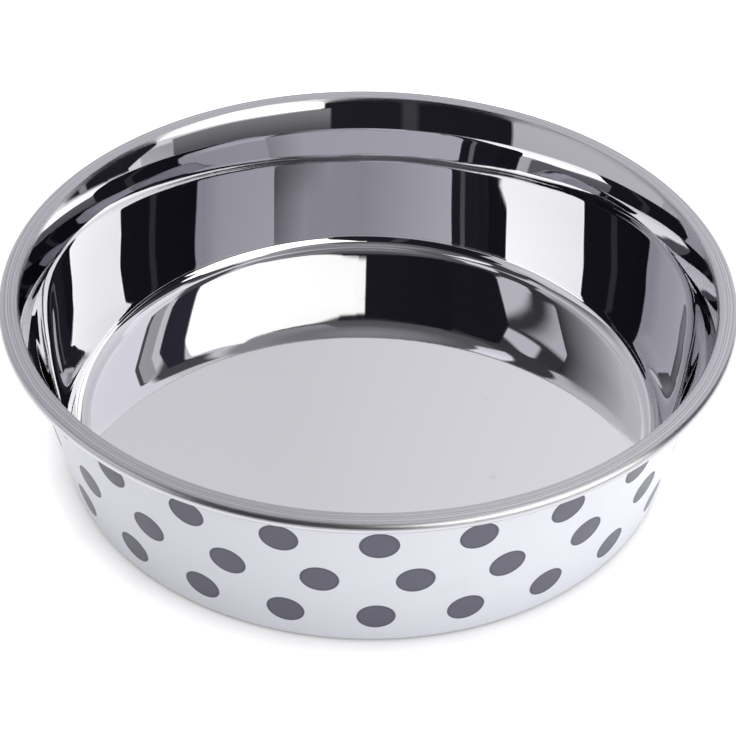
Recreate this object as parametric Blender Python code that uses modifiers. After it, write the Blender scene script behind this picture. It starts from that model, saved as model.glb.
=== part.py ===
"""Round dog bowl: a pressed steel liner in a moulded outer shell, on a rubber base ring.

Every piece is turned about the Z axis. The bowl stands on Z = 0, with its axis at X = Y = 0.
Lengths are in metres and leans are in degrees from the vertical.
"""

import math

import bmesh
import bpy
from mathutils import Vector

# Steel liner: rim
RIM_RADIUS = 0.105
RIM_HEIGHT = 0.056
SHEET = 0.0008
CURL_RADIUS = 0.00155
CURL_RETURN = 0.0013
RIM_FLAT = 0.0034
RIM_CORNER = 0.00045

# Steel liner: wall, from the rim down
FLARE_LEAN = 28.2
FLARE_FOOT_LEAN = 16.8
FLARE_LENGTH = 0.0101
CREASE_LENGTH = 0.0015
WALL_LEAN = 12.6
WAIST_LEAN = 10.8
WAIST_LENGTH = 0.0115
FOOT_LEAN = 14.0

# Steel liner: floor
HEEL_RADIUS = 0.0043
HEEL_LEAN = 50.0
FLOOR_RADIUS = 0.0062
FLOOR_HEIGHT = 0.0062
FLOOR_DOME = 0.0003

# Moulded outer shell
SHELL_LEAN = 10.4
SHELL_WALL = 0.0016
SHELL_PLATE = 0.0018
SHELL_EDGE = 0.0004
LIP_DROP = 0.0044
LIP_ROUND = 0.35
PLATE_FILLET = 0.002

# Rubber base ring
RING_WIDTH = 0.0062
RING_PROUD = 0.0009
RING_EDGE = 0.0004
GRIP_COUNT = 2
GRIP_WIDTH = 0.0008
GRIP_TAPER = 0.5
GRIP_DEPTH = 0.0005
KEEPER_WALL = 0.0016

# Fits
SEAT_GAP = 0.0003

# Facets
TURN_STEPS = 64
CURL_POINTS = 9
CORNER_POINTS = 3
FLARE_POINTS = 5
CREASE_POINTS = 2
WALL_POINTS = 2
HEEL_POINTS = 4
DOME_POINTS = 2
EDGE_POINTS = 3
MERGE = 0.00002

# Colours
STEEL = ((0.62, 0.62, 0.63), 0.16, 1.0)
WHITE = ((0.86, 0.86, 0.88), 0.22, 0.0)
RUBBER = ((0.03, 0.03, 0.032), 0.75, 0.0)

LEVEL = 90.0


def bent_run(start, length, lean_from, lean_to, count):
    """Points and leans on a run of sheet that goes down and inwards from start and bends evenly."""
    low, high = math.radians(lean_from), math.radians(lean_to)
    run = []
    for i in range(1, count + 1):
        share = i / count
        if math.isclose(low, high):
            offset = length * share * Vector((math.sin(low), math.cos(low)))
        else:
            lean = low + (high - low) * share
            turned_by = Vector((math.cos(low) - math.cos(lean), math.sin(lean) - math.sin(low)))
            offset = length / (high - low) * turned_by
        run.append((start - offset, lean_from + (lean_to - lean_from) * share))
    return run


def bent_length(drop, lean_from, lean_to):
    """The length of an evenly bent run that goes down by this drop."""
    low, high = math.radians(lean_from), math.radians(lean_to)
    if math.isclose(low, high):
        return drop / math.cos(low)
    return drop * (high - low) / (math.sin(high) - math.sin(low))


def bend_drop(radius, lean_from, lean_to):
    """How far down a bend of this radius goes."""
    return radius * (math.sin(math.radians(lean_to)) - math.sin(math.radians(lean_from)))


def round_arc(centre, radius, start_deg, end_deg, count):
    """Points on a plain arc about a centre, both ends included."""
    points = []
    for i in range(count + 1):
        angle = math.radians(start_deg + (end_deg - start_deg) * i / count)
        points.append(centre + radius * Vector((math.cos(angle), math.sin(angle))))
    return points


def outward(lean):
    """The unit vector out of a wall of this lean, away from the bowl's axis and down."""
    angle = math.radians(lean)
    return Vector((math.cos(angle), -math.sin(angle)))


def liner_rim():
    """Points and leans on the liner's visible face, from the rim's inner edge to the crease's foot."""
    top = Vector((RIM_RADIUS - CURL_RADIUS - RIM_FLAT, RIM_HEIGHT))
    corner_length = RIM_CORNER * math.radians(LEVEL - FLARE_LEAN)
    run = [(top, LEVEL)] + bent_run(top, corner_length, LEVEL, FLARE_LEAN, CORNER_POINTS)
    run += bent_run(run[-1][0], FLARE_LENGTH, FLARE_LEAN, FLARE_FOOT_LEAN, FLARE_POINTS)
    run += bent_run(run[-1][0], CREASE_LENGTH, FLARE_FOOT_LEAN, WALL_LEAN, CREASE_POINTS)
    return run


def liner_wall():
    """Points and leans on the liner's visible face, from the rim's inner edge to the floor's edge."""
    run = liner_rim()
    run += bent_run(run[-1][0], WAIST_LENGTH, WALL_LEAN, WAIST_LEAN, WALL_POINTS)
    heel_drop = bend_drop(HEEL_RADIUS, FOOT_LEAN, HEEL_LEAN)
    floor_drop = bend_drop(FLOOR_RADIUS, HEEL_LEAN, LEVEL)
    wall_drop = run[-1][0].y - FLOOR_HEIGHT - floor_drop - heel_drop
    wall_length = bent_length(wall_drop, WAIST_LEAN, FOOT_LEAN)
    run += bent_run(run[-1][0], wall_length, WAIST_LEAN, FOOT_LEAN, WALL_POINTS)
    heel_length = HEEL_RADIUS * math.radians(HEEL_LEAN - FOOT_LEAN)
    run += bent_run(run[-1][0], heel_length, FOOT_LEAN, HEEL_LEAN, HEEL_POINTS)
    floor_length = FLOOR_RADIUS * math.radians(LEVEL - HEEL_LEAN)
    run += bent_run(run[-1][0], floor_length, HEEL_LEAN, LEVEL, HEEL_POINTS)
    return run


def liner_profile():
    """The liner's visible face from the floor's centre, up the wall and round the curled rim."""
    wall = [point for point, _ in liner_wall()][::-1]
    floor = []
    for i in range(DOME_POINTS):
        share = i / DOME_POINTS
        floor.append(Vector((wall[0].x * share, wall[0].y + FLOOR_DOME * (1.0 - share ** 2))))
    curl_centre = Vector((RIM_RADIUS - CURL_RADIUS, RIM_HEIGHT - CURL_RADIUS))
    curl = round_arc(curl_centre, CURL_RADIUS, LEVEL, -LEVEL, CURL_POINTS)
    return floor + wall + curl + [curl[-1] - Vector((CURL_RETURN, 0.0))]


def shell_outside(height):
    """The radius of the shell's outer wall at a height, where it clears the liner's crease."""
    crease_foot = liner_rim()[-1][0]
    face = crease_foot + (SHEET + SEAT_GAP + SHELL_WALL) * outward(SHELL_LEAN)
    return face.x + (height - face.y) * math.tan(math.radians(SHELL_LEAN))


def shell_inside(height):
    """The radius of the shell's inner wall at a height below the liner's crease."""
    return shell_outside(height) - SHELL_WALL / math.cos(math.radians(SHELL_LEAN))


def plate_top():
    """The height of the shell's bottom plate, where the liner's floor rests."""
    return FLOOR_HEIGHT - SHEET - SEAT_GAP


def ring_outside():
    """The radius of the base ring's outer side, which clears the shell's foot."""
    return shell_inside(RING_PROUD) - SEAT_GAP


def shell_lip():
    """The lip: up its inner side, which clears the liner's crease and flare, and over its top edge."""
    lip_height = RIM_HEIGHT - LIP_DROP
    inner = []
    for point, lean in reversed(liner_rim()):
        here = point + (SHEET + SEAT_GAP) * outward(lean)
        if here.y >= lip_height:
            share = (lip_height - inner[-1].y) / (here.y - inner[-1].y)
            inner.append(inner[-1].lerp(here, share))
            break
        inner.append(here)
    rounding = LIP_ROUND * (shell_outside(lip_height) - inner[-1].x)
    return inner + [Vector((shell_outside(lip_height) - rounding, lip_height)),
                    Vector((shell_outside(lip_height - rounding), lip_height - rounding))]


def shell_profile():
    """The shell's section: plate, inner wall, lip, outer wall, foot, ring channel and recess."""
    plate = plate_top()
    under = plate - SHELL_PLATE
    setback = PLATE_FILLET * math.tan(math.radians((LEVEL - SHELL_LEAN) / 2.0))
    fillet_centre = Vector((shell_inside(plate) - setback, plate + PLATE_FILLET))
    fillet = round_arc(fillet_centre, PLATE_FILLET, -LEVEL, -SHELL_LEAN, EDGE_POINTS)
    foot_outer = shell_outside(RING_PROUD)
    foot_inner = shell_inside(RING_PROUD)
    foot_centre = Vector((foot_outer - SHELL_EDGE, RING_PROUD + SHELL_EDGE))
    foot_edge = round_arc(foot_centre, SHELL_EDGE, 0.0, -LEVEL, EDGE_POINTS)
    keeper_outer = ring_outside() - RING_WIDTH - SEAT_GAP
    keeper_inner = keeper_outer - KEEPER_WALL
    keeper = [Vector((keeper_outer, under)),
              Vector((keeper_outer, RING_PROUD + SHELL_EDGE)),
              Vector((keeper_outer - SHELL_EDGE, RING_PROUD)),
              Vector((keeper_inner + SHELL_EDGE, RING_PROUD)),
              Vector((keeper_inner, RING_PROUD + SHELL_EDGE)),
              Vector((keeper_inner, under))]
    channel = [Vector((foot_inner, RING_PROUD)), Vector((foot_inner, under))]
    return ([Vector((0.0, plate))] + fillet + shell_lip() + foot_edge + channel + keeper
            + [Vector((0.0, under))])


def ring_profile():
    """The base ring's closed section, with grip grooves across its tread."""
    outer = ring_outside()
    inner = outer - RING_WIDTH
    top = plate_top() - SHELL_PLATE - SEAT_GAP
    section = [Vector((inner, top)), Vector((outer, top)), Vector((outer, RING_EDGE)),
               Vector((outer - RING_EDGE, 0.0))]
    pitch = RING_WIDTH / (GRIP_COUNT + 1)
    mouth = GRIP_WIDTH / 2.0
    bottom = mouth * GRIP_TAPER
    for i in range(1, GRIP_COUNT + 1):
        middle = outer - i * pitch
        section += [Vector((middle + mouth, 0.0)), Vector((middle + bottom, GRIP_DEPTH)),
                    Vector((middle - bottom, GRIP_DEPTH)), Vector((middle - mouth, 0.0))]
    section += [Vector((inner + RING_EDGE, 0.0)), Vector((inner, RING_EDGE))]
    return section


def finish(name, colour, roughness, metallic):
    """A plain material of one colour."""
    material = bpy.data.materials.new(name)
    material.use_nodes = True
    shader = material.node_tree.nodes["Principled BSDF"]
    shader.inputs["Base Color"].default_value = (*colour, 1.0)
    shader.inputs["Roughness"].default_value = roughness
    shader.inputs["Metallic"].default_value = metallic
    return material


def turned(name, profile, closed, collection, material):
    """One piece turned about the Z axis from its section with a Screw modifier."""
    mesh = bpy.data.meshes.new(name)
    sketch = bmesh.new()
    verts = [sketch.verts.new((point.x, 0.0, point.y)) for point in profile]
    for start, end in zip(verts, verts[1:]):
        sketch.edges.new((start, end))
    if closed:
        sketch.edges.new((verts[-1], verts[0]))
    sketch.to_mesh(mesh)
    sketch.free()
    mesh.materials.append(material)
    piece = bpy.data.objects.new(name, mesh)
    collection.objects.link(piece)
    screw = piece.modifiers.new("Turn", "SCREW")
    screw.axis = "Z"
    screw.angle = 2.0 * math.pi
    screw.steps = TURN_STEPS
    screw.render_steps = TURN_STEPS
    screw.use_merge_vertices = True
    screw.merge_threshold = MERGE
    screw.use_smooth_shade = True
    return piece


def build():
    """Clear the scene and turn the three pieces."""
    for item in list(bpy.data.objects):
        bpy.data.objects.remove(item, do_unlink=True)
    bowl = bpy.data.collections.new("dog_bowl")
    bpy.context.scene.collection.children.link(bowl)

    liner = turned("steel_liner", liner_profile(), False, bowl, finish("polished_steel", *STEEL))
    wall = liner.modifiers.new("Sheet", "SOLIDIFY")
    wall.thickness = SHEET
    wall.offset = -1.0
    wall.use_even_offset = True

    turned("outer_shell", shell_profile(), False, bowl, finish("moulded_white", *WHITE))
    turned("base_ring", ring_profile(), True, bowl, finish("rubber", *RUBBER))


build()
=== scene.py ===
import math

import bpy
import numpy as np
from mathutils import Matrix, Vector


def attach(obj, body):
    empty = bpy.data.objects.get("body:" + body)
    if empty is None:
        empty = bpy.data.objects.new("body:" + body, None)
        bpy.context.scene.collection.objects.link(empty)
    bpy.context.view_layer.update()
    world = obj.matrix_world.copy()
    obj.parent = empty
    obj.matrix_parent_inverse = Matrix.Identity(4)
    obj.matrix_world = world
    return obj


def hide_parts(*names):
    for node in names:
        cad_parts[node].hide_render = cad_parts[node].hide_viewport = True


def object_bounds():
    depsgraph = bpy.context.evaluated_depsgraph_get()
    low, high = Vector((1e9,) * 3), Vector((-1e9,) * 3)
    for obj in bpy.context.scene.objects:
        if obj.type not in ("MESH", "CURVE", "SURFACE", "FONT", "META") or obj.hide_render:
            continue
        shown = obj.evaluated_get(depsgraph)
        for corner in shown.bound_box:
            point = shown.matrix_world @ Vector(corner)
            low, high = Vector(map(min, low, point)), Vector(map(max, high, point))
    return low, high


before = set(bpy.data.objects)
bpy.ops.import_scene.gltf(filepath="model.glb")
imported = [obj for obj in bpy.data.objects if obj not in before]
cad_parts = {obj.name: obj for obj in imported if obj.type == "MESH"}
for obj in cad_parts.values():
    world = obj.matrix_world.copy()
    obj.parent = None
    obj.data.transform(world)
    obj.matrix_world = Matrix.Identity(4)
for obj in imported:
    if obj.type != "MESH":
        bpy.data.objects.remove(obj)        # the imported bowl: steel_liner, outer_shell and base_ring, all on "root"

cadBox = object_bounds()
print("frame loaded:", ", ".join(sorted(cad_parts)))

# All lengths are in metres, and every lean is in degrees from the vertical.
fullTurn = 2.0 * math.pi

meshing = {
    "leastSteps": 3,         # a bent run is cut into at least this many pieces
    "straight": 1e-6,        # a bend under this, in radians, is a straight run
    "onAxis": 1e-7,          # a section point nearer than this to the axis lies on it
    "sharpAngle": 40.0,      # an edge that turns by more than this, in degrees, stays sharp
}


# A straight or evenly bent run of sheet that goes down and inwards. The lean t runs from leanFrom
# to leanTo, and with radius = length / bend a point is
# (r, z) = start - radius * (cos(leanFrom) - cos(t), sin(t) - sin(leanFrom)).
def bentRun(start, length, leanFrom, leanTo, spacing):
    count = max(meshing["leastSteps"], math.ceil(length / spacing))
    share = np.linspace(0.0, 1.0, count + 1)[1:]
    low, high = math.radians(leanFrom), math.radians(leanTo)
    if abs(high - low) < meshing["straight"]:
        inward, down = length * share * math.sin(low), length * share * math.cos(low)
    else:
        radius, lean = length / (high - low), low + (high - low) * share
        inward = radius * (math.cos(low) - np.cos(lean))
        down = radius * (np.sin(lean) - math.sin(low))
    return np.column_stack((start[0] - inward, start[1] - down))


# The length of an evenly bent run that goes down by this drop:
# drop * bend / (sin(leanTo) - sin(leanFrom)).
def bentLength(drop, leanFrom, leanTo):
    low, high = math.radians(leanFrom), math.radians(leanTo)
    return drop * (high - low) / (math.sin(high) - math.sin(low))


# A chain of such runs from a start point, each given as (length, lean at its end).
def bentChain(start, lean, runs, spacing):
    points = [np.array([start])]
    for length, leanEnd in runs:
        points.append(bentRun(points[-1][-1], length, lean, leanEnd, spacing))
        lean = leanEnd
    return np.vstack(points)


# Points on a circle's arc: centre + radius * (cos a, sin a), with a evenly spread in degrees.
def plainArc(centre, radius, degFrom, degTo, count):
    angle = np.radians(np.linspace(degFrom, degTo, count + 1))
    return np.column_stack((centre[0] + radius * np.cos(angle),
                            centre[1] + radius * np.sin(angle)))


# A straight line cut into short pieces, its first point left out.
def plainLine(start, end, spacing):
    start, end = np.asarray(start, float), np.asarray(end, float)
    count = max(1, math.ceil(np.linalg.norm(end - start) / spacing))
    share = np.linspace(0.0, 1.0, count + 1)[1:, None]
    return start + (end - start) * share


# The line at an even distance behind an open section: point - distance * n / cos(half the bend at
# the point), where n is the mean of the two neighbouring normals (-dz, dr).
def behind(section, distance):
    step = np.diff(section, axis=0)
    step /= np.linalg.norm(step, axis=1)[:, None]
    normal = np.column_stack((-step[:, 1], step[:, 0]))
    before, after = np.vstack((normal[:1], normal)), np.vstack((normal, normal[-1:]))
    mean = before + after
    return section - distance * 2.0 * mean / (mean * mean).sum(1)[:, None]


# A section turned about the Z axis: point(a, k) = (r_k cos a, r_k sin a, z_k). A section point on
# the axis becomes one vertex, the seam shares its vertices, and faces point along (-dz, dr) of the
# section.
def turned(name, section, steps, closed=False):
    section = np.array(section, float)
    onAxis = section[:, 0] < meshing["onAxis"]
    section[onAxis, 0] = 0.0
    angle = np.linspace(0.0, fullTurn, steps, endpoint=False)
    counts = np.where(onAxis, 1, steps)
    first = np.cumsum(counts) - counts
    index = first[None, :] + np.where(onAxis[None, :], 0, np.arange(steps)[:, None])
    points = np.empty((counts.sum(), 3))
    points[index, 0] = np.cos(angle)[:, None] * section[None, :, 0]
    points[index, 1] = np.sin(angle)[:, None] * section[None, :, 0]
    points[index, 2] = section[None, :, 1]

    if closed:
        index = np.hstack((index, index[:, :1]))
        onAxis = np.append(onAxis, onAxis[0])
    here, there = index, np.roll(index, -1, axis=0)
    corners = np.stack((here[:, :-1], here[:, 1:], there[:, 1:], there[:, :-1]), axis=-1)
    fromAxis, toAxis = onAxis[:-1], onAxis[1:]
    quads = corners[:, ~fromAxis & ~toAxis].reshape(-1, 4)
    starts = corners[:, fromAxis & ~toAxis][..., :3].reshape(-1, 3)
    ends = corners[:, ~fromAxis & toAxis][..., [0, 1, 3]].reshape(-1, 3)
    mesh = bpy.data.meshes.new(name)
    mesh.from_pydata(points.tolist(), [], quads.tolist() + starts.tolist() + ends.tolist())
    mesh.shade_smooth()
    mesh.set_sharp_from_angle(angle=math.radians(meshing["sharpAngle"]))
    mesh.update()
    piece = bpy.data.objects.new(name, mesh)
    bpy.context.scene.collection.objects.link(piece)
    return piece


# Adds a shader node. A value that is a socket is joined to the input, and any other is set on it.
def addNode(tree, kind, values=None, **settings):
    node = tree.nodes.new(kind)
    for key, value in settings.items():
        setattr(node, key, value)
    for key, value in (values or {}).items():
        if isinstance(value, bpy.types.NodeSocket):
            tree.links.new(value, node.inputs[key])
        else:
            node.inputs[key].default_value = value
    return node


# One step of arithmetic on numbers or sockets.
def mathNode(tree, operation, *values, clamp=False):
    node = addNode(tree, "ShaderNodeMath", dict(enumerate(values)),
                   operation=operation, use_clamp=clamp)
    return node.outputs[0]


# A smooth step from 0 to 1 as the value goes from low to high.
def smoothNode(tree, value, low, high):
    node = addNode(tree, "ShaderNodeMapRange", {"Value": value, "From Min": low, "From Max": high},
                   interpolation_type="SMOOTHSTEP")
    return node.outputs[0]


# A mix of two numbers: first * (1 - factor) + second * factor.
def blendNumber(tree, factor, first, second):
    node = addNode(tree, "ShaderNodeMix", {0: factor, 2: first, 3: second}, data_type="FLOAT")
    return node.outputs[0]


# The same mix for two colours, which are a mix node's inputs 6 and 7.
def mixColour(tree, factor, first, second):
    node = addNode(tree, "ShaderNodeMix", {0: factor}, data_type="RGBA")
    for place, value in ((6, first), (7, second)):
        if isinstance(value, bpy.types.NodeSocket):
            tree.links.new(value, node.inputs[place])
        else:
            node.inputs[place].default_value = (*value, 1.0)
    return node.outputs[2]


# An empty node group with these number inputs and outputs.
def newGroup(name, inputs, outputs):
    tree = bpy.data.node_groups.new(name, "ShaderNodeTree")
    for side, labels in (("INPUT", inputs), ("OUTPUT", outputs)):
        for label in labels:
            tree.interface.new_socket(name=label, in_out=side, socket_type="NodeSocketFloat")
    return tree, addNode(tree, "NodeGroupInput"), addNode(tree, "NodeGroupOutput")


# The outputs of a node group used with these values.
def useGroup(tree, group, values):
    return addNode(tree, "ShaderNodeGroup", values, node_tree=group).outputs


# The place on the piece in its own axes, whole and as x, y and z.
def objectAxes(tree):
    place = addNode(tree, "ShaderNodeTexCoord").outputs["Object"]
    axes = addNode(tree, "ShaderNodeSeparateXYZ", {0: place}).outputs
    return place, axes[0], axes[1], axes[2]


# The long side over two that are square to each other: sqrt(first^2 + second^2). For x and y it is
# the distance from the bowl's axis.
def rootOfSquares(tree, first, second):
    squares = [mathNode(tree, "MULTIPLY", side, side) for side in (first, second)]
    return mathNode(tree, "SQRT", mathNode(tree, "ADD", *squares))


# The numbers that the node groups share between all pieces. A pair is where a smooth step starts
# and ends.
finish = {
    "drift": {"Scale": 26.0, "Detail": 2.0},
    "fineLines": {"Scale": 1.0, "Detail": 3.0, "Roughness": 0.7},
    "lineShade": (0.3, 0.7),
    "wideMarks": 4.0,            # the noise's detail
    "smallMarks": 3.0,
    "marksRatio": 5.3,           # the small marks are this much finer than the wide ones
    "marksShade": (0.2, 0.42),
    "speckEdge": (0.16, 0.05),   # shares of a cell
    "dotEdge": (0.95, 0.8),      # shares of a dot's radius
}


# Fine lines that run round the axis, as a lathe or a polishing wheel leaves them: noise of
# (r - z) * lines, which goes on evenly over floor, wall, rim and curl, plus a slow drift so that no
# line is perfectly even.
def buildTurnedLines():
    tree, given, result = newGroup("turnedLines", ["Lines", "Unevenness"], ["Height", "Shade"])
    place, x, y, z = objectAxes(tree)
    drift = addNode(tree, "ShaderNodeTexNoise", {"Vector": place, **finish["drift"]})
    wander = mathNode(tree, "MULTIPLY", drift.outputs[0], given.outputs["Unevenness"])
    run = mathNode(tree, "SUBTRACT", rootOfSquares(tree, x, y), z)
    along = mathNode(tree, "ADD", mathNode(tree, "MULTIPLY", run, given.outputs["Lines"]), wander)
    fine = addNode(tree, "ShaderNodeTexNoise", {"W": along, **finish["fineLines"]},
                   noise_dimensions="1D")
    tree.links.new(fine.outputs[0], result.inputs["Height"])
    tree.links.new(smoothNode(tree, fine.outputs[0], *finish["lineShade"]),
                   result.inputs["Shade"])
    return tree


# Soft patches of handling and water marks: two noises of unlike size, multiplied.
def buildSoftMarks():
    tree, given, result = newGroup("softMarks", ["Size"], ["Value"])
    place, *_ = objectAxes(tree)
    size = given.outputs["Size"]
    smaller = mathNode(tree, "MULTIPLY", size, finish["marksRatio"])
    wide, small = (
        addNode(tree, "ShaderNodeTexNoise", {"Vector": place, "Scale": scale, "Detail": detail})
        for scale, detail in ((size, finish["wideMarks"]), (smaller, finish["smallMarks"])))
    both = mathNode(tree, "MULTIPLY", wide.outputs[0], small.outputs[0])
    tree.links.new(smoothNode(tree, both, *finish["marksShade"]), result.inputs["Value"])
    return tree


# A few tiny specks: cells whose own random number is low, each filled only near its middle.
def buildSpecks():
    tree, given, result = newGroup("specks", ["Size", "Share"], ["Mask"])
    place, *_ = objectAxes(tree)
    cells = addNode(tree, "ShaderNodeTexVoronoi",
                    {"Vector": place, "Scale": given.outputs["Size"]}).outputs
    luck = addNode(tree, "ShaderNodeSeparateColor", {0: cells["Color"]}).outputs[0]
    chosen = mathNode(tree, "LESS_THAN", luck, given.outputs["Share"])
    near = smoothNode(tree, cells["Distance"], *finish["speckEdge"])
    tree.links.new(mathNode(tree, "MULTIPLY", chosen, near), result.inputs["Mask"])
    return tree


# 1 between two distances from the axis, fading out over the softness on both sides.
def buildRoundBand():
    labels = ["Inner", "Outer", "Softness"]
    tree, given, result = newGroup("roundBand", labels, ["Mask"])
    inner, outer, soft = (given.outputs[label] for label in labels)
    _, x, y, _ = objectAxes(tree)
    radius = rootOfSquares(tree, x, y)
    rise = smoothNode(tree, radius, mathNode(tree, "SUBTRACT", inner, soft), inner)
    fall = smoothNode(tree, radius, outer, mathNode(tree, "ADD", outer, soft))
    mask = mathNode(tree, "MULTIPLY", rise, mathNode(tree, "SUBTRACT", 1.0, fall))
    tree.links.new(mask, result.inputs["Mask"])
    return tree


# One row of round dots on the leaning wall. Along the row the distance from the nearest dot is
# r * (wrap(angle - phase) to half a pitch), up the wall it is (z - height) / cos(lean), and a dot
# is where the root of their squares is under the dot's radius. Rim is 1 only close to a dot's edge.
def buildDotRow():
    labels = ["Height", "Phase", "Pitch", "Radius", "Slant", "Softness"]
    tree, given, result = newGroup("dotRow", labels, ["Mask", "Rim"])
    height, phase, pitch, size, slant, soft = (given.outputs[label] for label in labels)
    _, x, y, z = objectAxes(tree)
    angle = mathNode(tree, "ARCTAN2", x, mathNode(tree, "MULTIPLY", y, -1.0))
    half = mathNode(tree, "MULTIPLY", pitch, 0.5)
    local = mathNode(tree, "WRAP", mathNode(tree, "SUBTRACT", angle, phase),
                     half, mathNode(tree, "MULTIPLY", half, -1.0))
    across = mathNode(tree, "MULTIPLY", local, rootOfSquares(tree, x, y))
    upward = mathNode(tree, "MULTIPLY", mathNode(tree, "SUBTRACT", z, height), slant)
    away = rootOfSquares(tree, across, upward)
    mask = smoothNode(tree, away, mathNode(tree, "ADD", size, soft),
                      mathNode(tree, "SUBTRACT", size, soft))
    core = smoothNode(tree, away, *(mathNode(tree, "MULTIPLY", size, share)
                                    for share in finish["dotEdge"]))
    tree.links.new(mask, result.inputs["Mask"])
    tree.links.new(mathNode(tree, "SUBTRACT", mask, core, clamp=True), result.inputs["Rim"])
    return tree


turnedLines, softMarks, specks = buildTurnedLines(), buildSoftMarks(), buildSpecks()
roundBand, dotRow = buildRoundBand(), buildDotRow()
print("finishes built:", ", ".join(sorted(group.name for group in bpy.data.node_groups)))


# A material whose plain values lie on the shader's own sockets. A constant's name is its socket's,
# with _ for each space.
def newMaterial(name, colour, roughness, metallic, **constants):
    material = bpy.data.materials.new(name)
    material.use_nodes = True
    shader = material.node_tree.nodes["Principled BSDF"]
    shader.inputs["Base Color"].default_value = (*colour, 1.0)
    shader.inputs["Roughness"].default_value = roughness
    shader.inputs["Metallic"].default_value = metallic
    for label, value in constants.items():
        shader.inputs[label.replace("_", " ")].default_value = value
    return material, material.node_tree, shader


# A little of the dust colour over a surface, at the specks only.
def dusted(tree, colour, dust):
    mask = useGroup(tree, specks, {"Size": dust["size"], "Share": dust["share"]})["Mask"]
    return mixColour(tree, mathNode(tree, "MULTIPLY", mask, dust["strength"]),
                     colour, dust["colour"])


# Puts a finished piece on the bowl's one body, in the place of its CAD node.
def fit(piece, node, material):
    piece.data.materials.append(material)
    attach(piece, "root")
    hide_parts(node)
    print(f"{piece.name}: {len(piece.data.polygons)} faces, in place of {node}")


# The pressed steel liner. Its runs go down from the rim's inner edge, each as (length, lean at its
# end). A band's fade is the width over which it gives way to the plain mirror.
liner = {
    "rimRadius": min(cadBox[1].x, cadBox[1].y) - 0.00002,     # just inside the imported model's box
    "rimHeight": 0.056,
    "sheet": 0.0008,
    "curlRadius": 0.00155,
    "curlReturn": 0.0013,
    "curlSteps": 24,
    "flatWidth": 0.0034,
    "cornerRadius": 0.00045,
    "cornerSpacing": 0.00006,
    "flareLean": 28.2,
    "flare": (0.0101, 16.8),
    "crease": (0.0015, 12.6),
    "waist": (0.0115, 10.8),
    "footLean": 14.0,
    "heelRadius": 0.0043,
    "heelLean": 50.0,
    "floorRadius": 0.0062,
    "floorHeight": 0.0062,
    "floorDome": 0.0003,
    "floorSteps": 39,
    "spacing": 0.0008,
    "steps": 256,
    "steel": (0.602, 0.596, 0.628),
    # a lighter copy of the steel for the floor, painted light that brightens its reflections
    "paintedLighterFloorSteel": (0.785, 0.785, 0.80),
    "anisotropic": 0.7,
    "brushTurn": 0.25,
    "flatSetback": 0.0003,       # the satin band starts this far inside the flat
    "flatFade": 0.0010,
    "curlFade": 0.0006,
    "floorEdge": 0.083,
    "floorFade": 0.0015,
    "mirror": 0.012,             # roughnesses, each with what the marks or the lines add to it
    "mirrorMarks": 0.012,
    "floorBrush": 0.012,
    "floorGrain": 0.012,
    "satin": 0.27,
    "satinGrain": 0.1,
    "curlBrush": 0.32,
    "darkLine": (0.38, 0.375, 0.405),
    "paleLine": (0.63, 0.625, 0.655),
    "lines": {"Lines": 1700.0, "Unevenness": 2.5},
    "lineDepth": 0.000014,
    "wallLines": 0.01,           # shares of the lines' depth; the rim's and the floor's are added
    "rimLines": 0.9,
    "floorLines": 0.015,
    "marks": {"Size": 24.0},
    "waves": {"Scale": 22.0, "Detail": 1.0, "Roughness": 0.5},
    "waveDepth": 0.00021,
    "waveMiddle": 0.5,           # the floor has this even level in place of the waves
    "dust": {"size": 110.0, "share": 0.04, "strength": 0.13, "colour": (0.30, 0.30, 0.31)},
}


# The rim's inner corner, the flare and the crease, from the top down.
def linerRim():
    top = (liner["rimRadius"] - liner["curlRadius"] - liner["flatWidth"], liner["rimHeight"])
    lean = liner["flareLean"]
    bend = liner["cornerRadius"] * math.radians(90.0 - lean)
    corner = bentChain(top, 90.0, [(bend, lean)], liner["cornerSpacing"])
    runs = bentChain(corner[-1], lean, [liner["flare"], liner["crease"]], liner["spacing"] / 2.0)
    return np.vstack((corner, runs[1:]))


# The whole visible wall down to the floor's edge. The run above the heel takes up the height that
# is left once the two bends below it have had radius * (the change of the lean's sine).
def linerWall():
    rim = linerRim()
    waist = bentChain(rim[-1], liner["crease"][1], [liner["waist"]], liner["spacing"])
    waistLean, footLean, heelLean = liner["waist"][1], liner["footLean"], liner["heelLean"]
    footSine, heelSine = (math.sin(math.radians(lean)) for lean in (footLean, heelLean))
    bends = liner["heelRadius"] * (heelSine - footSine) + liner["floorRadius"] * (1.0 - heelSine)
    foot = bentLength(waist[-1][1] - liner["floorHeight"] - bends, waistLean, footLean)
    lower = bentChain(waist[-1], waistLean, [(foot, footLean)], liner["spacing"])
    turns = bentChain(lower[-1], footLean, [
        (liner["heelRadius"] * math.radians(heelLean - footLean), heelLean),
        (liner["floorRadius"] * math.radians(90.0 - heelLean), 90.0)], liner["spacing"] / 3.0)
    return np.vstack((rim, waist[1:], lower[1:], turns[1:]))


# The liner's whole face, from the axis out: the floor, whose dome rises by
# dome * (1 - (r / edge)^2), the wall, the rim's flat, the curl and the return under it.
def linerSection():
    wall = linerWall()[::-1]
    edge = wall[0]
    share = np.linspace(0.0, 1.0, liner["floorSteps"] + 1)[:-1]
    floor = np.column_stack((edge[0] * share,
                             edge[1] + liner["floorDome"] * (1.0 - share ** 2)))
    radius, half = liner["curlRadius"], liner["spacing"] / 2.0
    curlCentre = (liner["rimRadius"] - radius, liner["rimHeight"] - radius)
    flat = plainLine(wall[-1], (curlCentre[0], liner["rimHeight"]), half)
    curl = plainArc(curlCentre, radius, 90.0, -90.0, liner["curlSteps"])[1:]
    back = plainLine(curl[-1], curl[-1] - np.array([liner["curlReturn"], 0.0]), half)
    return np.vstack((floor, wall, flat, curl, back))
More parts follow.
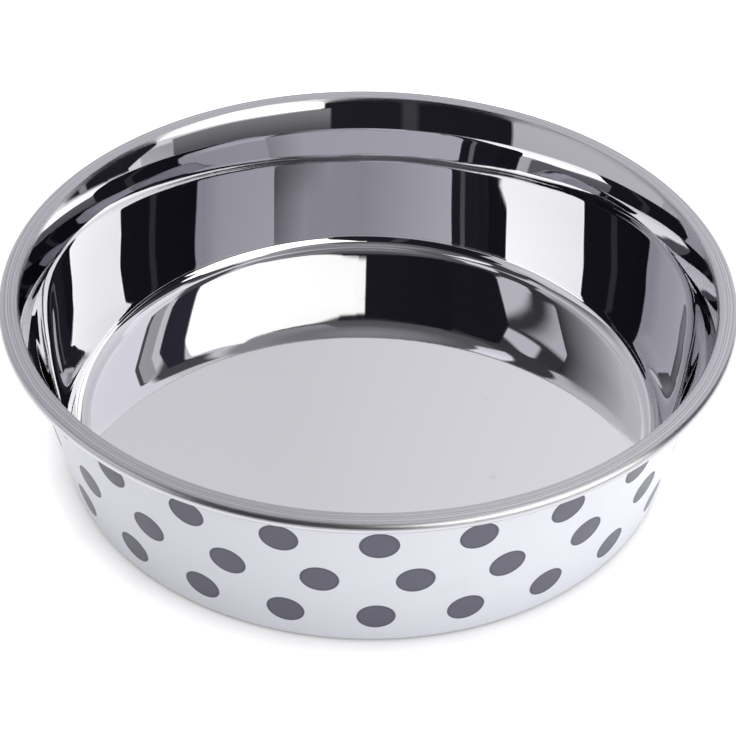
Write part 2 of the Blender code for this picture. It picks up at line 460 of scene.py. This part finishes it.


# The liner's material: a mirror with faint marks and waves, finely turned lines on the floor, and a satin turned
# finish on the rim's flat and curl. The floor's steel is a lighter copy, painted light that brightens its
# reflections. The brushed direction runs round the axis, as (-y, x).
def steelMaterial():
    material, tree, shader = newMaterial(
        "polishedSteel", liner["steel"], liner["mirror"], 1.0,
        Anisotropic=liner["anisotropic"], Anisotropic_Rotation=liner["brushTurn"])
    top = liner["rimRadius"] - liner["curlRadius"]
    flatInner, curlInner = top - liner["flatWidth"] - liner["flatSetback"], top + liner["curlFade"]
    inside, outside = -1.0, 1.0      # metres: no border on that side
    flat, curl, plate = (
        useGroup(tree, roundBand, {"Inner": inner, "Outer": outer, "Softness": soft})["Mask"]
        for inner, outer, soft in ((flatInner, outside, liner["flatFade"]),
                                   (curlInner, outside, liner["curlFade"]),
                                   (inside, liner["floorEdge"], liner["floorFade"])))
    lines = useGroup(tree, turnedLines, liner["lines"])
    marks = useGroup(tree, softMarks, liner["marks"])["Value"]
    shade = lines["Shade"]

    mirror = mathNode(tree, "MULTIPLY_ADD", marks, liner["mirrorMarks"], liner["mirror"])
    brushed = mathNode(tree, "MULTIPLY_ADD", shade, liner["floorGrain"], liner["floorBrush"])
    satin = mathNode(tree, "MULTIPLY_ADD", shade, liner["satinGrain"], liner["satin"])
    inner = blendNumber(tree, plate, mirror, brushed)
    outer = blendNumber(tree, curl, satin, liner["curlBrush"])
    tree.links.new(blendNumber(tree, flat, inner, outer), shader.inputs["Roughness"])

    tint = mixColour(tree, shade, liner["darkLine"], liner["paleLine"])
    # The floor gets the lighter steel, painted light that brightens its reflections.
    body = mixColour(tree, plate, liner["steel"], liner["paintedLighterFloorSteel"])
    body = dusted(tree, body, liner["dust"])
    tree.links.new(mixColour(tree, flat, body, tint), shader.inputs["Base Color"])

    place, x, y, _ = objectAxes(tree)
    waves = addNode(tree, "ShaderNodeTexNoise", {"Vector": place, **liner["waves"]}).outputs[0]
    level = blendNumber(tree, plate, waves, liner["waveMiddle"])
    sway = addNode(tree, "ShaderNodeBump",
                   {"Height": level, "Strength": 1.0, "Distance": liner["waveDepth"]})
    depth = mathNode(tree, "ADD",
                     mathNode(tree, "MULTIPLY_ADD", flat, liner["rimLines"], liner["wallLines"]),
                     mathNode(tree, "MULTIPLY", plate, liner["floorLines"]))
    height = mathNode(tree, "MULTIPLY", lines["Height"], depth)
    bump = addNode(tree, "ShaderNodeBump", {"Height": height, "Normal": sway.outputs[0],
                                            "Strength": 1.0, "Distance": liner["lineDepth"]})
    tree.links.new(bump.outputs[0], shader.inputs["Normal"])
    around = addNode(tree, "ShaderNodeCombineXYZ", {0: mathNode(tree, "MULTIPLY", y, -1.0), 1: x})
    tree.links.new(around.outputs[0], shader.inputs["Tangent"])
    return material


# The liner is its face and the line one sheet behind it, which closes at the axis and at the curl.
def buildLiner():
    face = linerSection()
    hidden = behind(face, liner["sheet"])
    hidden[0, 0] = 0.0
    piece = turned("steelLiner", np.vstack((face, hidden[::-1])), liner["steps"])
    fit(piece, "steel_liner", steelMaterial())


# The white moulded shell, with its dots. Its outer radius at a height h is
# footRadius + h * tan(lean).
shell = {
    "lean": 10.4,
    "footRadius": 0.08988,
    "wall": 0.0016,
    "plate": 0.0018,
    "plateTop": 0.0051,
    "plateFillet": 0.002,
    "filletSteps": 8,
    "edge": 0.0004,
    "edgeSteps": 5,
    "ringProud": 0.0009,
    "ringWidth": 0.0062,
    "keeper": 0.0016,
    "gap": 0.0003,
    "lipHeight": 0.0516,
    "lipRound": 0.35,            # a share of the lip's width
    "spacing": 0.0012,
    "plateSpacing": 0.008,
    "steps": 256,
    "dotRows": [(0.0117, 1.52), (0.0274, -7.50), (0.0428, 1.63)],   # height, first dot in degrees
    "dotPitch": 15.0,
    "dotRadius": 0.00518,
    "dotSoftness": 0.00012,
    "white": (0.765, 0.77, 0.83),
    "grey": (0.130, 0.128, 0.166),
    "edgeInk": 0.8,              # how much of the grey is left at a dot's edge
    "markedWhite": 0.985,        # and of the white where it is marked
    "roughness": 0.33,
    "cleanRoughness": 0.3,
    "marksRoughness": 0.06,
    "specular": 0.08,
    "marks": {"Size": 18.0},
    "dust": {"size": 140.0, "share": 0.04, "strength": 0.12, "colour": (0.40, 0.40, 0.42)},
}


def shellRadius(height):
    return shell["footRadius"] + height * math.tan(math.radians(shell["lean"]))


# The wall's inner side lies wall / cos(lean) further in.
def shellInner(height):
    return shellRadius(height) - shell["wall"] / math.cos(math.radians(shell["lean"]))


# The lip's inner side, from the wall up: the liner's rim set back by the sheet and the gap, and cut
# at the lip.
def lipInside():
    clear = behind(linerRim()[::-1], liner["sheet"] + shell["gap"])
    lip = shell["lipHeight"]
    below = clear[clear[:, 1] < lip]
    return np.vstack((below, (np.interp(lip, clear[:, 1], clear[:, 0]), lip)))


# The shell's section, from the axis: the plate's top and its fillet, the wall's inner side and the
# lip, the outside down to the foot, the ring's channel, its keeper, and the plate's underside. The
# fillet's centre lies radius * tan(half the angle between plate and wall) in from their corner.
def shellSection():
    lean, edge, proud = shell["lean"], shell["edge"], shell["ringProud"]
    plate, under = shell["plateTop"], shell["plateTop"] - shell["plate"]
    lip, step, radius = shell["lipHeight"], shell["spacing"], shell["plateFillet"]
    setback = radius * math.tan(math.radians((90.0 - lean) / 2.0))
    fillet = plainArc((shellInner(plate) - setback, plate + radius), radius,
                      -90.0, -lean, shell["filletSteps"])
    lipIn = lipInside()
    inside = plainLine(fillet[-1], lipIn[0], step)
    rounding = shell["lipRound"] * (shellRadius(lip) - lipIn[-1][0])
    top = plainArc((shellRadius(lip) - rounding, lip - rounding), rounding,
                   90.0, -lean, shell["edgeSteps"])
    foot = plainArc((shellRadius(proud) - edge, proud + edge), edge,
                    -lean, -90.0, shell["edgeSteps"])
    outside = plainLine(top[-1], foot[0], step)
    channel = np.array([(shellInner(proud), proud), (shellInner(proud), under)])
    keeperOut = shellInner(proud) - shell["ringWidth"] - 2.0 * shell["gap"]
    keeperIn = keeperOut - shell["keeper"]
    keeper = np.array([(keeperOut, under), (keeperOut, proud + edge), (keeperOut - edge, proud),
                       (keeperIn + edge, proud), (keeperIn, proud + edge), (keeperIn, under)])
    floorTop = plainLine((0.0, plate), fillet[0], shell["plateSpacing"])
    floorUnder = plainLine(keeper[-1], (0.0, under), shell["plateSpacing"])
    return np.vstack(([(0.0, plate)], floorTop, fillet[1:], inside, lipIn[1:], top, outside,
                      foot[1:], channel, keeper, floorUnder))


# The shell's material: white with faint marks and specks, and the three rows of dots in grey, each
# a little darker at its edge.
def shellMaterial():
    white, grey = shell["white"], shell["grey"]
    material, tree, shader = newMaterial("mouldedWhite", white, shell["roughness"], 0.0,
                                         Specular_IOR_Level=shell["specular"])
    marks = useGroup(tree, softMarks, shell["marks"])["Value"]
    colour = mixColour(tree, marks, white, tuple(c * shell["markedWhite"] for c in white))
    colour = dusted(tree, colour, shell["dust"])
    for height, phase in shell["dotRows"]:
        row = useGroup(tree, dotRow, {
            "Height": height, "Phase": math.radians(phase),
            "Pitch": math.radians(shell["dotPitch"]), "Radius": shell["dotRadius"],
            "Slant": 1.0 / math.cos(math.radians(shell["lean"])),
            "Softness": shell["dotSoftness"]})
        ink = mixColour(tree, row["Rim"], grey, tuple(c * shell["edgeInk"] for c in grey))
        colour = mixColour(tree, row["Mask"], colour, ink)
    tree.links.new(colour, shader.inputs["Base Color"])
    tree.links.new(mathNode(tree, "MULTIPLY_ADD", marks, shell["marksRoughness"],
                            shell["cleanRoughness"]), shader.inputs["Roughness"])
    return material


def buildShell():
    piece = turned("dottedShell", shellSection(), shell["steps"])
    fit(piece, "outer_shell", shellMaterial())


# The rubber ring in the foot, with two grooves in its tread.
baseRing = {
    "outer": 0.08812,
    "width": 0.0062,
    "top": 0.003,
    "edge": 0.0004,
    "edgeSteps": 4,
    "grooves": 2,
    "grooveWidth": 0.0008,
    "grooveDepth": 0.0005,
    "steps": 192,
    "rubber": (0.03, 0.03, 0.032),
    "darkRubber": (0.026, 0.026, 0.028),
    "dustyRubber": (0.045, 0.045, 0.047),
    "roughness": 0.78,
    "cleanRoughness": 0.7,
    "marksRoughness": 0.12,
    "marks": {"Size": 60.0},
}


# The ring's section: a block with two rounded lower edges, and grooves spread evenly over its
# tread. A groove's floor is half as wide as its mouth.
def ringSection():
    outer, top, edge = baseRing["outer"], baseRing["top"], baseRing["edge"]
    inner, steps = outer - baseRing["width"], baseRing["edgeSteps"]
    pitch = baseRing["width"] / (baseRing["grooves"] + 1)
    middle = outer - pitch * np.arange(1, baseRing["grooves"] + 1)
    shape = np.array([(0.5, 0.0), (0.25, 1.0), (-0.25, 1.0), (-0.5, 0.0)])
    across = middle[:, None] + shape[None, :, 0] * baseRing["grooveWidth"]
    upward = np.broadcast_to(shape[:, 1] * baseRing["grooveDepth"], across.shape)
    tread = np.stack((across, upward), axis=-1).reshape(-1, 2)
    return np.vstack(([(inner, top), (outer, top)],
                      plainArc((outer - edge, edge), edge, 0.0, -90.0, steps), tread,
                      plainArc((inner + edge, edge), edge, -90.0, -180.0, steps)))


def buildRing():
    piece = turned("baseRing", ringSection(), baseRing["steps"], closed=True)
    material, tree, shader = newMaterial("mattRubber", baseRing["rubber"],
                                         baseRing["roughness"], 0.0)
    marks = useGroup(tree, softMarks, baseRing["marks"])["Value"]
    tree.links.new(mixColour(tree, marks, baseRing["darkRubber"], baseRing["dustyRubber"]),
                   shader.inputs["Base Color"])
    tree.links.new(mathNode(tree, "MULTIPLY_ADD", marks, baseRing["marksRoughness"],
                            baseRing["cleanRoughness"]), shader.inputs["Roughness"])
    fit(piece, "base_ring", material)


buildLiner()
buildShell()
buildRing()


# The studio: a white floor, a white room, two soft lamps, and cards that only reflections see. A
# card's azimuth runs round from the bowl's right side, and its low and high edges are elevations at
# its two ends, all in degrees. Its shades are at its low start, low end, high start and high end,
# and its start, end, low and high borders fade out over the softness. A later card lies in front
# of an earlier one.
studio = {
    "floorSize": 6.0,
    "floorColour": 0.95,
    "floorRoughness": 0.9,
    "floorLift": 0.68,          # added for the camera and for reflections, so that it reads white
    "paintedShadowReach": 0.012,      # the lift fades out where something this near closes the floor in, which paints a contact shadow
    "contactPower": 1.5,
    "paintedShadowSamples": 12,
    "roomLevel": 0.69,          # what the room gives to diffuse surfaces
    "lampSize": 0.9,
    "lampDistance": 1.6,
    "lamps": {                  # azimuth, elevation and power
        "mainLamp": (45.0, 70.0, 11.5),
        "fillLamp": (327.0, 14.0, 7.0),
    },
    "cardDistance": 1.2,
    "cardSpacing": 0.02,        # a card lies this much further in than the one before it
    "cardSteps": 120,
    "tints": {"cool": (0.985, 0.975, 1.02), "warm": (1.0, 1.01, 0.94), "ink": (0.93, 0.88, 1.25)},
    "cards": {
        "ceilingDark": {"azimuth": (100, 330), "low": (58, 58), "high": (90, 90),
                        "shade": (0.13, 0.16, 0.20, 0.20), "soft": (2, 2, 2, 0)},
        "ceilingGrey": {"azimuth": (-60, 100), "low": (71, 71), "high": (90, 90),
                        "shade": (0.50, 0.45, 0.40, 0.40), "soft": (3, 3, 3, 0)},
        "ceilingCap": {"azimuth": (0, 360), "low": (79, 79), "high": (90, 90),
                       "shade": (0.22, 0.22, 0.46, 0.46), "soft": (0, 0, 8, 0)},
        "topBlack": {"azimuth": (148, 222), "low": (55, 58), "high": (71, 71),
                     "shade": (0.06, 0.06, 0.09, 0.09), "soft": (1, 1, 1, 1)},
        "ceilingSpot": {"azimuth": (122, 166), "low": (70.5, 70.5), "high": (75.5, 75.5),
                        "shade": (1.50, 1.10, 1.50, 1.10), "soft": (1, 3, 1, 1)},
        "backSheet": {"azimuth": (29, 148), "low": (-2, -2), "high": (30, 30),
                      "shade": (1.0, 0.90, 1.0, 0.90), "soft": (1, 1, 1, 1)},
        "backMiddle": {"azimuth": (80, 148), "low": (30, 30), "high": (48, 48),
                       "shade": (0.70, 0.72, 0.76, 0.80), "soft": (1, 1, 8, 2)},
        "backRise": {"azimuth": (29, 94), "low": (30, 30), "high": (48, 48),
                     "shade": (1.14, 0.68, 1.18, 0.74), "soft": (1, 10, 8, 2)},
        "backHigh": {"azimuth": (88, 148), "low": (48, 48), "high": (65, 65),
                     "shade": (0.85, 0.80, 0.85, 0.80), "soft": (10, 1, 1, 1)},
        "backEdge": {"azimuth": (112, 150), "low": (64.5, 64.5), "high": (70.5, 70.5),
                     "shade": (0.08, 0.08, 0.08, 0.08), "soft": (1, 1, 1, 1)},
        "backRight": {"azimuth": (39.5, 92), "low": (48, 48), "high": (63, 63),
                      "shade": (1.35, 1.10, 1.25, 1.10), "soft": (1, 10, 1, 2)},
        "edgeGrey": {"azimuth": (29, 38.5), "low": (47, 47), "high": (57.5, 57.5),
                     "shade": (0.58, 0.62, 0.58, 0.62), "soft": (1, 0.5, 2, 1)},
        "edgeLine": {"azimuth": (37.3, 39.7), "low": (47, 47), "high": (58, 58),
                     "shade": (0.12, 0.12, 0.12, 0.12), "soft": (0.6, 0.6, 2, 1)},
        "leftSheet": {"azimuth": (154, 220), "low": (-2, -2), "high": (57, 61),
                      "shade": (0.72, 0.66, 0.84, 0.80), "soft": (1, 1, 1, 0.8)},
        "leftPale": {"azimuth": (154, 205), "low": (24, 24), "high": (50, 50),
                     "shade": (1.10, 0.90, 1.0, 0.90), "soft": (1, 16, 6, 4)},
        "topPatch": {"azimuth": (173, 198), "low": (59.3, 60.8), "high": (63.6, 62.3),
                     "shade": (0.95, 0.95, 0.95, 0.95), "soft": (3, 1, 0.5, 0.8)},
        "cornerFoot": {"azimuth": (136, 157.5), "low": (-2, -2), "high": (30, 30),
                       "shade": (0.90, 0.50, 0.95, 0.62), "soft": (6, 0.5, 1, 2)},
        "cornerLow": {"azimuth": (136, 158.5), "low": (29, 29), "high": (41, 41),
                      "shade": (0.98, 0.62, 0.76, 0.22), "soft": (6, 0.5, 2, 1)},
        "cornerHigh": {"azimuth": (118, 158.5), "low": (40, 40), "high": (62, 62),
                       "shade": (0.86, 0.22, 0.80, 0.0), "soft": (4, 0.5, 3, 3)},
        "frontBlack": {"azimuth": (219, 287.5), "low": (-2, -2), "high": (69, 69),
                       "shade": (0.017, 0.024, 0.017, 0.024), "soft": (1, 0.5, 1, 1),
                       "tint": "ink"},
        "softBox": {"azimuth": (286.5, 372), "low": (25, 18), "high": (68, 73),
                    "shade": (2.95, 3.60, 2.00, 2.00), "soft": (1, 1, 1.5, 0.8), "tint": "warm"},
        "boxSlope": {"azimuth": (276.5, 287.5), "low": (63.8, 36), "high": (68, 68),
                     "shade": (2.05, 2.90, 2.00, 2.00), "soft": (0.6, 0.1, 1, 0.8),
                     "tint": "warm"},
        "boxEnd": {"azimuth": (271.5, 277.5), "low": (64.6, 64.2), "high": (68, 68),
                   "shade": (1.98, 2.02, 1.96, 2.00), "soft": (1, 0.1, 0.6, 0.8), "tint": "warm"},
        "underBox": {"azimuth": (284, 342), "low": (-2, -2), "high": (25, 19),
                     "shade": (0.02, 0.02, 0.34, 0.30), "soft": (1, 1, 1, 1)},
        "palePatch": {"azimuth": (342, 354.5), "low": (-2, -2), "high": (17, 16),
                      "shade": (0.60, 0.75, 0.50, 0.60), "soft": (1, 1, 1, 2)},
        "frontSlope": {"azimuth": (190, 220), "low": (60.5, 42), "high": (68, 68),
                       "shade": (0.02, 0.02, 0.02, 0.02), "soft": (1, 1, 1, 1), "tint": "ink"},
        "frontStreak": {"azimuth": (253, 258.5), "low": (-2, -2), "high": (62, 62),
                        "shade": (0.06, 0.06, 0.09, 0.09), "soft": (2.5, 2.5, 4, 6)},
        "rightSlope": {"azimuth": (0.3, 11), "low": (7, 7), "high": (39.3, 57),
                       "shade": (0.022, 0.022, 0.04, 0.04), "soft": (0.1, 0.1, 2, 1),
                       "tint": "ink"},
        "slopeToe": {"azimuth": (-11.3, 3), "low": (19, 7), "high": (40.4, 44.2),
                     "shade": (0.022, 0.022, 0.022, 0.022), "soft": (0.8, 0.1, 1, 0.8),
                     "tint": "ink"},
        "rightBlack": {"azimuth": (10, 29.5), "low": (7, 7), "high": (57, 68),
                       "shade": (0.02, 0.02, 0.05, 0.05), "soft": (0.1, 1, 2, 1), "tint": "ink"},
        "thinBar": {"azimuth": (19.6, 22.8), "low": (7, 7), "high": (46, 46),
                    "shade": (0.40, 0.40, 0.16, 0.16), "soft": (1, 1, 4, 3)},
        "rightBand": {"azimuth": (30, 62), "low": (59, 62), "high": (69, 69),
                      "shade": (0.12, 0.12, 0.12, 0.12), "soft": (1, 4, 2, 2)},
    },
}


# A direction from the bowl: (cos e cos a, cos e sin a, sin e) for an azimuth a and an elevation e.
def skyDirection(azimuth, elevation):
    a, e = np.radians(azimuth), np.radians(elevation)
    return np.stack((np.cos(e) * np.cos(a), np.cos(e) * np.sin(a), np.sin(e)), axis=-1)


# A card gives its shade to reflections and lets what is behind it through at its faded borders.
def cardMaterial(name, tint):
    material = bpy.data.materials.new(name)
    material.use_nodes = True
    material.cycles.emission_sampling = "NONE"
    tree = material.node_tree
    tree.nodes.clear()
    shade, cover = (addNode(tree, "ShaderNodeAttribute", attribute_name=label).outputs["Fac"]
                    for label in ("shade", "cover"))
    light = addNode(tree, "ShaderNodeEmission", {"Color": (*tint, 1.0), "Strength": shade})
    clear = addNode(tree, "ShaderNodeBsdfTransparent")
    both = addNode(tree, "ShaderNodeMixShader",
                   {0: cover, 1: clear.outputs[0], 2: light.outputs[0]})
    addNode(tree, "ShaderNodeOutputMaterial", {"Surface": both.outputs[0]})
    return material


# A card is a patch of a sphere about the bowl, whose azimuth and elevation run evenly between its
# edges. Its shade and its cover are kept on its points. The shade runs evenly between its corners,
# and the cover is the product of a smooth rise, s^2 * (3 - 2s), from each of the four edges.
def buildCard(name, place):
    card, steps = studio["cards"][name], studio["cardSteps"]
    soft = card["soft"]
    (left, right), (lowLeft, lowRight) = card["azimuth"], card["low"]
    highLeft, highRight = card["high"]
    across, up = np.meshgrid(np.linspace(0.0, 1.0, steps + 1), np.linspace(0.0, 1.0, steps + 1))
    low = lowLeft + (lowRight - lowLeft) * across - soft[2] / 2.0
    high = highLeft + (highRight - highLeft) * across + soft[3] / 2.0
    turn = left - soft[0] / 2.0 + (right - left + (soft[0] + soft[1]) / 2.0) * across
    lift = low + (high - low) * up
    distance = studio["cardDistance"] - place * studio["cardSpacing"]
    points = distance * skyDirection(turn, np.minimum(lift, 90.0))
    edges = [turn - turn[0, 0], turn[0, -1] - turn, lift - low, high - lift]
    cover = np.ones(turn.shape)
    for away, border in zip(edges, soft):
        share = np.clip(away / border, 0.0, 1.0) if border else 1.0
        cover *= share * share * (3.0 - 2.0 * share)
    lowStart, lowEnd, highStart, highEnd = card["shade"]
    lowShade = lowStart + (lowEnd - lowStart) * across
    shade = lowShade + (highStart + (highEnd - highStart) * across - lowShade) * up

    index = np.arange(turn.size).reshape(turn.shape)
    faces = np.stack((index[:-1, :-1], index[:-1, 1:], index[1:, 1:], index[1:, :-1]), axis=-1)
    mesh = bpy.data.meshes.new(name)
    mesh.from_pydata(points.reshape(-1, 3).tolist(), [], faces.reshape(-1, 4).tolist())
    for label, values in (("shade", shade), ("cover", cover)):
        attribute = mesh.attributes.new(label, "FLOAT", "POINT")
        attribute.data.foreach_set("value", values.ravel().astype(np.float32))
    piece = bpy.data.objects.new(name, mesh)
    bpy.context.scene.collection.objects.link(piece)
    mesh.materials.append(cardMaterial(name, studio["tints"][card.get("tint", "cool")]))
    piece.visible_camera = piece.visible_diffuse = piece.visible_shadow = False
    piece.visible_transmission = False


# 1 for rays from the camera, and for those that metal or glass sends on.
def seenDirectly(tree):
    path = addNode(tree, "ShaderNodeLightPath").outputs
    camera, glossy, through = (
        path[k] for k in ("Is Camera Ray", "Is Glossy Ray", "Is Transmission Ray"))
    return mathNode(tree, "MAXIMUM", mathNode(tree, "MAXIMUM", camera, glossy), through)


# A pale square floor. Its lift is floorLift times the ambient occlusion's openness raised to a power, for the rays
# that see it directly, so that the lift fades near the bowl as a painted contact shadow.
def buildFloor():
    half = studio["floorSize"] / 2.0
    corners = [(-half, -half, 0.0), (half, -half, 0.0), (half, half, 0.0), (-half, half, 0.0)]
    mesh = bpy.data.meshes.new("floor")
    mesh.from_pydata(corners, [], [(0, 1, 2, 3)])
    floor = bpy.data.objects.new("floor", mesh)
    bpy.context.scene.collection.objects.link(floor)
    material, tree, shader = newMaterial(
        "paleFloor", [studio["floorColour"]] * 3, studio["floorRoughness"], 0.0,
        Specular_IOR_Level=0.0, Emission_Color=(1.0, 1.0, 1.0, 1.0))
    # The ambient occlusion dims the lift near the bowl: a painted contact shadow on the floor.
    openness = addNode(tree, "ShaderNodeAmbientOcclusion", {"Distance": studio["paintedShadowReach"]},
                       samples=studio["paintedShadowSamples"]).outputs["AO"]
    lift = mathNode(tree, "MULTIPLY", mathNode(tree, "POWER", openness, studio["contactPower"]),
                    studio["floorLift"])
    tree.links.new(mathNode(tree, "MULTIPLY", seenDirectly(tree), lift),
                   shader.inputs["Emission Strength"])
    mesh.materials.append(material)


# A white room, which gives diffuse surfaces only roomLevel of its light.
def buildRoom():
    world = bpy.data.worlds.new("room")
    bpy.context.scene.world = world
    world.use_nodes = True
    tree = world.node_tree
    tree.nodes.clear()
    strength = blendNumber(tree, seenDirectly(tree), studio["roomLevel"], 1.0)
    light = addNode(tree, "ShaderNodeBackground",
                    {"Color": (1.0, 1.0, 1.0, 1.0), "Strength": strength})
    addNode(tree, "ShaderNodeOutputWorld", {"Surface": light.outputs[0]})


# A round lamp that faces the bowl and that no reflection sees.
def buildLamp(name):
    azimuth, elevation, power = studio["lamps"][name]
    place = Vector(studio["lampDistance"] * skyDirection(azimuth, elevation))
    data = bpy.data.lights.new(name, "AREA")
    data.shape, data.size, data.energy = "DISK", studio["lampSize"], power
    lamp = bpy.data.objects.new(name, data)
    bpy.context.scene.collection.objects.link(lamp)
    lamp.location = place
    lamp.rotation_euler = place.to_track_quat("Z", "Y").to_euler()
    lamp.visible_glossy = False


buildFloor()
buildRoom()
for lampName in studio["lamps"]:
    buildLamp(lampName)
for cardPlace, cardName in enumerate(studio["cards"]):
    buildCard(cardName, cardPlace)
print("studio built:", len(studio["lamps"]), "lamps and", len(studio["cards"]), "cards")


# The photograph's viewpoint: a camera on the -Y side that looks down at the bowl. Side, distance
# and lookHeight are in rim radii, the three turns in degrees.
viewpoint = {
    "rimRadius": 0.105,
    "side": -0.0448,
    "distance": 5.2565,
    "pitch": 38.5213,
    "yaw": 0.6515,
    "roll": -1.0329,
    "lookHeight": 0.2080,
    "focalPixels": 1853.26,
    "imagePixels": 736.0,
    "sensor": 36.0,              # millimetres
    "nearest": 0.01,
    "furthest": 50.0,
}


# The camera stands back from the point it aims at, down by the pitch, and is then turned by the yaw
# and rolled. Its lens is sensor * focalPixels / imagePixels.
def buildCamera():
    pitch, yaw, roll = (math.radians(viewpoint[k]) for k in ("pitch", "yaw", "roll"))
    aim = Vector((viewpoint["side"], 0.0, viewpoint["lookHeight"]))
    away = viewpoint["distance"] * Vector((0.0, math.cos(pitch), -math.sin(pitch)))
    place = (aim - away) * viewpoint["rimRadius"]
    ahead = Vector((math.sin(yaw) * math.cos(pitch), math.cos(yaw) * math.cos(pitch),
                    -math.sin(pitch)))
    right = Vector((math.cos(yaw), -math.sin(yaw), 0.0))
    down = ahead.cross(right)
    rolledRight = right * math.cos(roll) + down * math.sin(roll)
    rolledUp = right * math.sin(roll) - down * math.cos(roll)
    turn = Matrix((rolledRight, rolledUp, -ahead)).transposed().to_4x4()
    data = bpy.data.cameras.new("camera")
    data.sensor_width = viewpoint["sensor"]
    data.lens = viewpoint["sensor"] * viewpoint["focalPixels"] / viewpoint["imagePixels"]
    data.clip_start, data.clip_end = viewpoint["nearest"], viewpoint["furthest"]
    camera = bpy.data.objects.new("camera", data)
    bpy.context.scene.collection.objects.link(camera)
    camera.matrix_world = Matrix.Translation(place) @ turn
    bpy.context.scene.camera = camera


buildCamera()
bpy.context.scene.view_settings.view_transform = "Standard"
